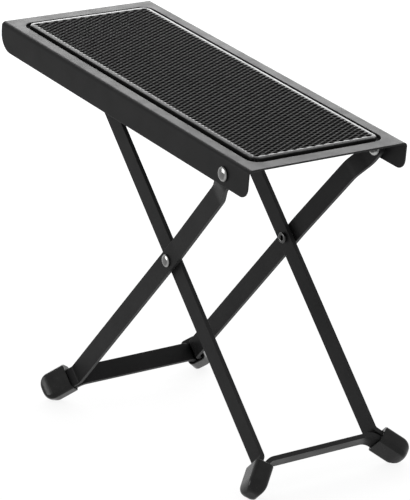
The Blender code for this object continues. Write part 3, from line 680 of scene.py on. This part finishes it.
def foot_stations():
    """(distance along the ear, half thickness, half width, corner) from inside the mouth to the nose."""
    half_t, half_w = FOOT_THICKNESS / 2, FOOT_WIDTH / 2
    socket_t = EAR_OFFSET + BAR_THICKNESS / 2 + FOOT_SOCKET_GAP
    socket_w = BAR_WIDTH / 2 + FOOT_SOCKET_GAP
    stations = [(FOOT_START + FOOT_POCKET_DEPTH, socket_t, socket_w, FOOT_LIP),
                (FOOT_START + FOOT_LIP, socket_t, socket_w, FOOT_LIP),
                (FOOT_START, socket_t + FOOT_LIP, socket_w + FOOT_LIP, 2 * FOOT_LIP)]
    for t in quarter_turn(EDGE_STEPS):
        inset = FOOT_LIP * (1 - sin(t))
        stations.append((FOOT_START + FOOT_LIP * (1 - cos(t)), half_t - inset, half_w - inset, FOOT_CORNER))
    for t in quarter_turn(NOSE_STEPS):
        stations.append((FOOT_TIP - FOOT_NOSE_LENGTH * (1 - sin(t)),
                         half_t - FOOT_NOSE_THICKNESS_INSET * (1 - cos(t)),
                         half_w - FOOT_NOSE_WIDTH_INSET * (1 - cos(t)), FOOT_CORNER))
    return stations


def foot(frame_name, label, length, leg_mid, rise, place, look):
    """A rubber cap over an ear. Its outside is shifted across the bar by its rise, and flat on the floor."""
    side = SIDES[label]
    corner = Vector((length, side * leg_mid))
    along = Vector((cos(EAR_ANGLE), side * sin(EAR_ANGLE)))
    across = Vector((-along.y, along.x))
    points = []
    unplace = place.inverted()
    stations = foot_stations()
    for station, half_t, half_w, radius in stations:
        centre = corner + along * station
        lift = rise if radius == FOOT_CORNER else 0
        for q, r in rounded_rectangle(half_t, half_w, min(radius, half_t - MERGE)):
            spot = centre + across * q
            stood = place @ Vector((spot.x, spot.y, lift + r))
            stood.z = max(stood.z, 0)
            points.append(unplace @ stood)
    size = len(points) // len(stations)
    faces = rings_to_faces(len(stations), size)
    faces += [tuple(reversed(range(size))), tuple(range(len(points) - size, len(points)))]
    return add_piece(f"{frame_name}_cap_{label}", points, faces, [0.0] * len(points), place,
                     frame_name + "_frame", look, f"{frame_name}_foot_{label}")


def feet(look):
    """Both frames' feet."""
    for label in SIDES:
        foot("outer", label, OUTER_LOWER, OUTER_LEG_MID, -FOOT_RISE, OUTER_FRAME, look)
        foot("inner", label, INNER_LOWER, INNER_LEG_MID, FOOT_RISE, INNER_FRAME, look)


# Rivets

def rivet_profile(head, rise, stack):
    """(radius, height above its seat) from the dome's top down the shank, round the end and into the bore."""
    shank = RIVET_SHANK / 2
    rim = rise * RIVET_RIM_SHARE
    profile = []
    for i in range(DOME_STEPS + 1):
        t = pi / 2 * (1 - i / DOME_STEPS)
        profile.append((head / 2 * cos(t), RIVET_GAP + rim + (rise - rim) * sin(t)))
    under = head / 2 - rim / 2
    top = -stack - RIVET_GAP
    profile += [(head / 2, RIVET_GAP + rim / 2), (under, RIVET_GAP), (shank, RIVET_GAP), (shank, top)]
    middle = top - ROLL_LENGTH / 2
    centre = (ROLL_DIAMETER / 2 + RIVET_BORE / 2) / 2
    half = (ROLL_DIAMETER - RIVET_BORE) / 4
    for i in range(ROUND_STEPS * 2 + 1):
        t = pi * i / (ROUND_STEPS * 2)
        profile.append((centre + half * cos(t), middle - ROLL_LENGTH / 2 * sin(t)))
    return profile + [(RIVET_BORE / 2, middle + BORE_DEPTH), (0, middle + BORE_DEPTH)]


def rivet(name, head, rise, stack, seat, side, place, body, look, node):
    """A tubular rivet, turned about Y: a domed head outside, an end rolled over inside."""
    profile = rivet_profile(head, rise, stack)
    turns = [2 * pi * i / TURNED_STEPS for i in range(TURNED_STEPS)]
    points = [(r * cos(t), side * (seat + h), r * sin(t)) for r, h in profile for t in turns]
    # Painted reflection and painted shade across the head by distance from its axis, and a darker colour on
    # the rolled end
    painted_light = [np.interp(2 * r / head, RING_PLACE_SHARES, RING_PAINTED_LIGHT_SHARES) if h > 0 else ROLL_BRIGHT_SHARE
              for r, h in profile for _ in turns]
    shape = shape_with_wear_and_painted_light(points, rings_to_faces(len(profile), TURNED_STEPS), painted_light)
    bmesh.ops.remove_doubles(shape, verts=shape.verts, dist=MERGE)
    bmesh.ops.dissolve_degenerate(shape, edges=shape.edges, dist=MERGE)
    bmesh.ops.recalc_face_normals(shape, faces=shape.faces)
    return finish_piece(name, shape, place, body, look, node)


def rivets(look):
    """The plate's rivets and the frames' crossing rivets."""
    crossing_stack = 2 * BAR_THICKNESS + LEG_SPACE
    pivot_stack = SHEET + PLATE_WASHER_SPACE + BAR_THICKNESS + BACKING_STACK
    for label, side in SIDES.items():
        rivet("plate_rivet_" + label, PLATE_RIVET_HEAD, PLATE_RIVET_RISE, pivot_stack, HALF_WIDTH, side,
              PLATE_FRAME, "platform", look, "platform_rivet_" + label)
        rivet("leg_rivet_" + label, CROSSING_RIVET_HEAD, CROSSING_RIVET_RISE, crossing_stack, OUTER_LEG_OUT,
              side, OUTER_FRAME, "outer_frame", look, "crossing_rivet_" + label)


# Materials

class Look:
    """A Principled material with a few short ways to add texture nodes, in metres of the piece's own space.

    It starts from a plain colour and roughness, which the textures then vary.
    """

    def __init__(self, name, colour, roughness, metallic=0.0, specular=0.5):
        self.material = bpy.data.materials.new(name)
        self.material.use_nodes = True
        self.tree = self.material.node_tree
        self.shader = self.tree.nodes["Principled BSDF"]
        self.shader.inputs["Base Color"].default_value = (*colour, 1)
        self.shader.inputs["Roughness"].default_value = roughness
        self.shader.inputs["Metallic"].default_value = metallic
        self.shader.inputs["Specular IOR Level"].default_value = specular
        self.place = self.tree.nodes.new("ShaderNodeTexCoord").outputs["Object"]
        self.normal = None

    def noise(self, size, detail, stretch=None):
        """Noise of a size in metres, squeezed along the axes whose stretch is above 1."""
        place = self.place
        if stretch:
            mapping = self.tree.nodes.new("ShaderNodeMapping")
            mapping.inputs["Scale"].default_value = stretch
            self.tree.links.new(place, mapping.inputs["Vector"])
            place = mapping.outputs["Vector"]
        texture = self.tree.nodes.new("ShaderNodeTexNoise")
        texture.inputs["Scale"].default_value = 1 / size
        texture.inputs["Detail"].default_value = detail
        self.tree.links.new(place, texture.inputs["Vector"])
        return texture.outputs["Fac"]

    def remap(self, value, low, high, new_low, new_high):
        """A value's range spread over a new one, and held at its ends."""
        node = self.tree.nodes.new("ShaderNodeMapRange")
        for key, number in (("From Min", low), ("From Max", high), ("To Min", new_low), ("To Max", new_high)):
            node.inputs[key].default_value = number
        self.tree.links.new(value, node.inputs["Value"])
        return node.outputs["Result"]

    def uneven(self, size, detail, low, high, span=NOISE_MIDDLE, stretch=None):
        """Noise spread from a low to a high value."""
        return self.remap(self.noise(size, detail, stretch), *span, low, high)

    def joined(self, operation, a, b):
        """Two values put together by a maths node."""
        node = self.tree.nodes.new("ShaderNodeMath")
        node.operation = operation
        self.tree.links.new(a, node.inputs[0])
        self.tree.links.new(b, node.inputs[1])
        return node.outputs["Value"]

    def wear_and_painted_light(self):
        """The number that the mesh carries at each point: edge wear on the coat, painted shade on the mat, and
        painted reflection and shade on the rivets.
        """
        node = self.tree.nodes.new("ShaderNodeAttribute")
        node.attribute_name = "wear_and_painted_light"
        return node.outputs["Fac"]

    def colours(self, value, first, second):
        """A colour that goes from the first to the second with a value."""
        node = self.tree.nodes.new("ShaderNodeMix")
        node.data_type = "RGBA"
        node.inputs["A"].default_value = (*first, 1)
        node.inputs["B"].default_value = (*second, 1)
        self.tree.links.new(value, node.inputs["Factor"])
        self.tree.links.new(node.outputs["Result"], self.shader.inputs["Base Color"])

    def roughness(self, value):
        """A roughness that follows a value."""
        self.tree.links.new(value, self.shader.inputs["Roughness"])

    def bump(self, height, distance, strength):
        """Relief from a value, on top of the relief so far."""
        node = self.tree.nodes.new("ShaderNodeBump")
        node.inputs["Distance"].default_value = distance
        node.inputs["Strength"].default_value = strength
        self.tree.links.new(height, node.inputs["Height"])
        if self.normal:
            self.tree.links.new(self.normal, node.inputs["Normal"])
        self.normal = node.outputs["Normal"]
        self.tree.links.new(self.normal, self.shader.inputs["Normal"])


def powder_coat():
    """Satin black powder coat: a fine orange peel, uneven sheen, and edges rubbed a little lighter."""
    look = Look("powder_coat", colour=(0.0135, 0.0135, 0.0137), roughness=0.40, specular=0.06)
    cloudy = look.uneven(size=0.020, detail=4, low=0, high=0.25)
    rubbed = look.joined("MULTIPLY", look.wear_and_painted_light(), look.uneven(size=0.006, detail=4, low=0.45, high=0.75))
    look.colours(look.joined("ADD", cloudy, rubbed),
                 first=(0.0115, 0.0115, 0.0117), second=(0.0255, 0.0255, 0.0258))
    look.roughness(look.uneven(size=0.012, detail=5, low=0.36, high=0.45))
    look.bump(look.noise(size=0.0011, detail=2), distance=0.00006, strength=0.22)
    look.bump(look.noise(size=0.00035, detail=1), distance=0.00002, strength=0.12)
    return look.material


def mat_rubber():
    """Moulded black rubber with a dull grain: painted shade turns the pockets black, and the tops of the ribs
    are dusty grey.
    """
    look = Look("mat_rubber", colour=(0.03, 0.03, 0.03), roughness=0.70, specular=0.06)
    # Painted shade: the tread's height darkens the pockets and the slopes into them to black, and noise adds
    # dust on the tops of the ribs
    unshaded_rib_tops = look.remap(look.wear_and_painted_light(), low=0.78, high=1.0, new_low=0, new_high=1)
    dust_and_painted_shade = look.joined("MULTIPLY", unshaded_rib_tops,
                        look.uneven(size=0.009, detail=4, low=0.75, high=1, span=NOISE_UPPER))
    look.colours(dust_and_painted_shade, first=(0.0015, 0.0015, 0.0015), second=(0.083, 0.083, 0.082))
    look.roughness(look.uneven(size=0.004, detail=4, low=0.66, high=0.80))
    look.bump(look.noise(size=0.0005, detail=3), distance=0.00005, strength=0.3)
    return look.material


def rim_rubber():
    """The mat's smooth rim, glossier than its tread."""
    look = Look("rim_rubber", colour=(0.008, 0.008, 0.008), roughness=0.30, specular=0.08)
    look.colours(look.uneven(size=0.007, detail=4, low=0, high=1, span=NOISE_UPPER), *SMOOTH_RUBBER)
    look.roughness(look.uneven(size=0.004, detail=4, low=0.26, high=0.36))
    look.bump(look.noise(size=0.0005, detail=3), distance=0.00005, strength=0.2)
    return look.material


def foot_rubber():
    """Smooth black rubber caps with a soft grain and faint scuffs."""
    look = Look("foot_rubber", colour=(0.009, 0.009, 0.009), roughness=0.22, specular=0.16)
    look.colours(look.uneven(size=0.006, detail=5, low=0, high=1, span=NOISE_UPPER), *SMOOTH_RUBBER)
    look.roughness(look.uneven(size=0.003, detail=4, low=0.18, high=0.28))
    look.bump(look.noise(size=0.0007, detail=3), distance=0.00006, strength=0.12)
    return look.material


def rivet_steel():
    """Formed steel with fine scratches, and painted light from the mesh: a painted reflection in a lighter
    ring on each head, with painted shade in its middle and at its edge.
    """
    look = Look("rivet_steel", colour=(0.30, 0.30, 0.295), roughness=0.12, metallic=1.0)
    # Painted reflection and painted shade on the heads and the darker rolled ends, set by the mesh and broken
    # up by noise
    painted_reflection_and_shade = look.joined("MULTIPLY", look.wear_and_painted_light(),
                         look.uneven(size=0.002, detail=5, low=0.75, high=1, span=NOISE_UPPER))
    look.colours(painted_reflection_and_shade, first=(0.03, 0.03, 0.03), second=(0.34, 0.34, 0.335))
    look.roughness(look.uneven(size=0.0008, detail=4, low=0.07, high=0.18, stretch=(1, 1, 4)))
    look.bump(look.noise(size=0.0006, detail=4, stretch=(3, 1, 1)), distance=0.00003, strength=0.25)
    return look.material


def zinc_steel():
    """Zinc-plated steel, mottled and a little cool."""
    look = Look("zinc_steel", colour=(0.42, 0.42, 0.41), roughness=0.38, metallic=1.0)
    look.colours(look.uneven(size=0.003, detail=5, low=0, high=1),
                 first=(0.33, 0.335, 0.34), second=(0.47, 0.47, 0.45))
    look.roughness(look.uneven(size=0.0015, detail=4, low=0.30, high=0.46))
    look.bump(look.noise(size=0.0004, detail=3), distance=0.00002, strength=0.3)
    return look.material


def carried_over(coat, zinc):
    """Materials of the nodes of the model that show as they are."""
    looks = {"height_rack": coat, "latch_rod": zinc, "washer": zinc}
    for name, node in frame["nodes"].items():
        for key, look in looks.items():
            if key in name:
                node.data.materials.clear()
                node.data.materials.append(look)


# Studio

def background_white(tree):
    """1 for camera, glossy and transmission rays, which see the white background itself."""
    rays = tree.nodes.new("ShaderNodeLightPath")
    seen = rays.outputs["Is Camera Ray"]
    for kind in ("Is Glossy Ray", "Is Transmission Ray"):
        either = tree.nodes.new("ShaderNodeMath")
        either.operation = "MAXIMUM"
        tree.links.new(seen, either.inputs[0])
        tree.links.new(rays.outputs[kind], either.inputs[1])
        seen = either.outputs["Value"]
    return seen


def studio_world():
    """A plain white world, a little dimmer as a light than as the background."""
    world = bpy.data.worlds.new("studio")
    bpy.context.scene.world = world
    world.use_nodes = True
    tree = world.node_tree
    level = tree.nodes.new("ShaderNodeMapRange")
    level.inputs["To Min"].default_value = WORLD_FILL
    level.inputs["To Max"].default_value = WORLD_WHITE
    tree.links.new(background_white(tree), level.inputs["Value"])
    tree.links.new(level.outputs["Result"], tree.nodes["Background"].inputs["Strength"])
    tree.nodes["Background"].inputs["Color"].default_value = (1, 1, 1, 1)


def studio_floor():
    """A pale floor that glows for the camera and still takes the object's shadow."""
    shape = bmesh.new()
    bmesh.ops.create_grid(shape, x_segments=FLOOR_SEGMENTS, y_segments=FLOOR_SEGMENTS, size=FLOOR_REACH)
    mesh = bpy.data.meshes.new("floor")
    shape.to_mesh(mesh)
    shape.free()
    item = new_object("floor", mesh)
    material = bpy.data.materials.new("pale_floor")
    material.use_nodes = True
    tree = material.node_tree
    shader = tree.nodes["Principled BSDF"]
    shader.inputs["Base Color"].default_value = (FLOOR_COLOUR, FLOOR_COLOUR, FLOOR_COLOUR, 1)
    shader.inputs["Roughness"].default_value = FLOOR_ROUGHNESS
    shader.inputs["Specular IOR Level"].default_value = 0.0
    glow = tree.nodes.new("ShaderNodeEmission")
    glow.inputs["Strength"].default_value = FLOOR_GLOW
    share = tree.nodes.new("ShaderNodeMapRange")
    share.inputs["To Max"].default_value = FLOOR_GLOW_SHARE
    tree.links.new(background_white(tree), share.inputs["Value"])
    mix = tree.nodes.new("ShaderNodeMixShader")
    tree.links.new(share.outputs["Result"], mix.inputs["Fac"])
    tree.links.new(shader.outputs["BSDF"], mix.inputs[1])
    tree.links.new(glow.outputs["Emission"], mix.inputs[2])
    tree.links.new(mix.outputs["Shader"], tree.nodes["Material Output"].inputs["Surface"])
    mesh.materials.append(material)


def direction(azimuth, elevation):
    """The unit vector towards a direction, with the azimuth counted from +X towards +Y."""
    return Vector((cos(azimuth) * cos(elevation), sin(azimuth) * cos(elevation), sin(elevation)))


def area_lamp(name, towards, distance, size, power, gleam_only=False):
    """A rectangular lamp in a direction from the origin, turned to face it."""
    data = bpy.data.lights.new(name, "AREA")
    data.shape = "RECTANGLE"
    data.size, data.size_y = size
    data.energy = power
    lamp = new_object(name, data)
    lamp.location = towards * distance
    lamp.rotation_mode = "QUATERNION"
    lamp.rotation_quaternion = (-towards).to_track_quat("-Z", "Y")
    lamp.visible_camera = False
    lamp.visible_diffuse = not gleam_only


def lamps():
    """A wide softbox behind the plate and a small one that gleams on the rivets."""
    area_lamp("softbox", direction(SOFTBOX_AZIMUTH, SOFTBOX_ELEVATION), SOFTBOX_DISTANCE, SOFTBOX_SIZE,
              SOFTBOX_POWER)
    area_lamp("window", direction(WINDOW_AZIMUTH, WINDOW_ELEVATION), WINDOW_DISTANCE, WINDOW_SIZE,
              WINDOW_POWER, gleam_only=True)


def camera():
    """The photograph's camera, placed from where it aims."""
    back = Vector((sin(VIEW_AZIMUTH) * cos(VIEW_ELEVATION), -cos(VIEW_AZIMUTH) * cos(VIEW_ELEVATION),
                   sin(VIEW_ELEVATION)))
    level = Vector((cos(VIEW_AZIMUTH), sin(VIEW_AZIMUTH), 0))
    raised = back.cross(level)
    right = level * cos(VIEW_ROLL) + raised * sin(VIEW_ROLL)
    up = raised * cos(VIEW_ROLL) - level * sin(VIEW_ROLL)
    data = bpy.data.cameras.new("camera")
    data.lens = VIEW_LENS
    item = new_object("camera", data)
    aim = CROSSING + AIM_FROM_CROSSING + right * AIM_RIGHT + up * AIM_UP
    place = Matrix((right, up, back)).transposed().to_4x4()
    place.translation = aim + back * VIEW_DISTANCE
    item.matrix_world = place
    bpy.context.scene.camera = item


def main():
    """Dress the model, light it and look at it."""
    coat = powder_coat()
    zinc = zinc_steel()
    foot_plate(coat)
    mat(mat_rubber(), rim_rubber())
    leg_frames(coat)
    feet(foot_rubber())
    rivets(rivet_steel())
    carried_over(coat, zinc)
    studio_world()
    studio_floor()
    lamps()
    camera()
    bpy.context.scene.view_settings.view_transform = "Standard"


main()
